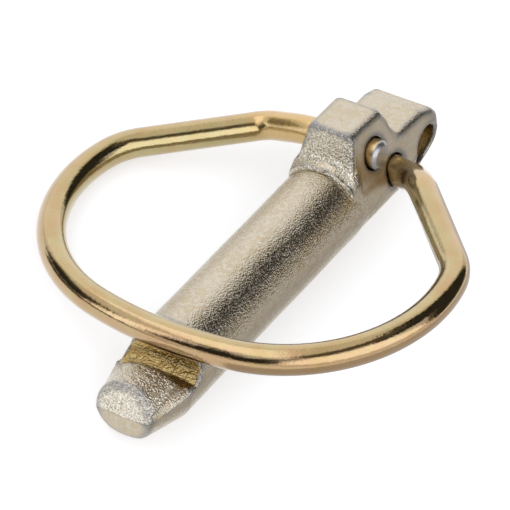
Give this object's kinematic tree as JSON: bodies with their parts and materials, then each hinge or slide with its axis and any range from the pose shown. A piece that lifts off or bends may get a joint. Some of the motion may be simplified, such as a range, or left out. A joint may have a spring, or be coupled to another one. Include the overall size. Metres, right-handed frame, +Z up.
{
  "type": "lynch pin",
  "caption": "Round locking pin with a notched tip and a two-lobed head, and a hinged sprung wire ring that snaps over the tip.",
  "frame": {"origin": "on the shaft's axis, where the fillet under the head begins", "axes": "+X along the shaft towards the head; +Z up as the object lies; the pin's own parting plane is rolled 18.1 degrees about X, so that the ring's far side, towards +Y, lies on the surface"},
  "size_m": [0.0658, 0.0525, 0.0191],
  "materials": {
    "pin": "forged steel, satin yellow zinc plate",
    "ring": "spring steel wire, bright yellow zinc plate"
  },
  "bodies": {
    "pin": {"pin": "pin"},
    "ring": {"ring": "ring"}
  },
  "joints": [
    {"name": "ring_swing", "type": "hinge", "parent": "pin", "child": "ring", "pos_m": [0.00835, 0.00103, 0.00314], "axis": [0, 0.9505, -0.3107], "range_deg": [0, 175], "deforming": ["ring"]}
  ]
}
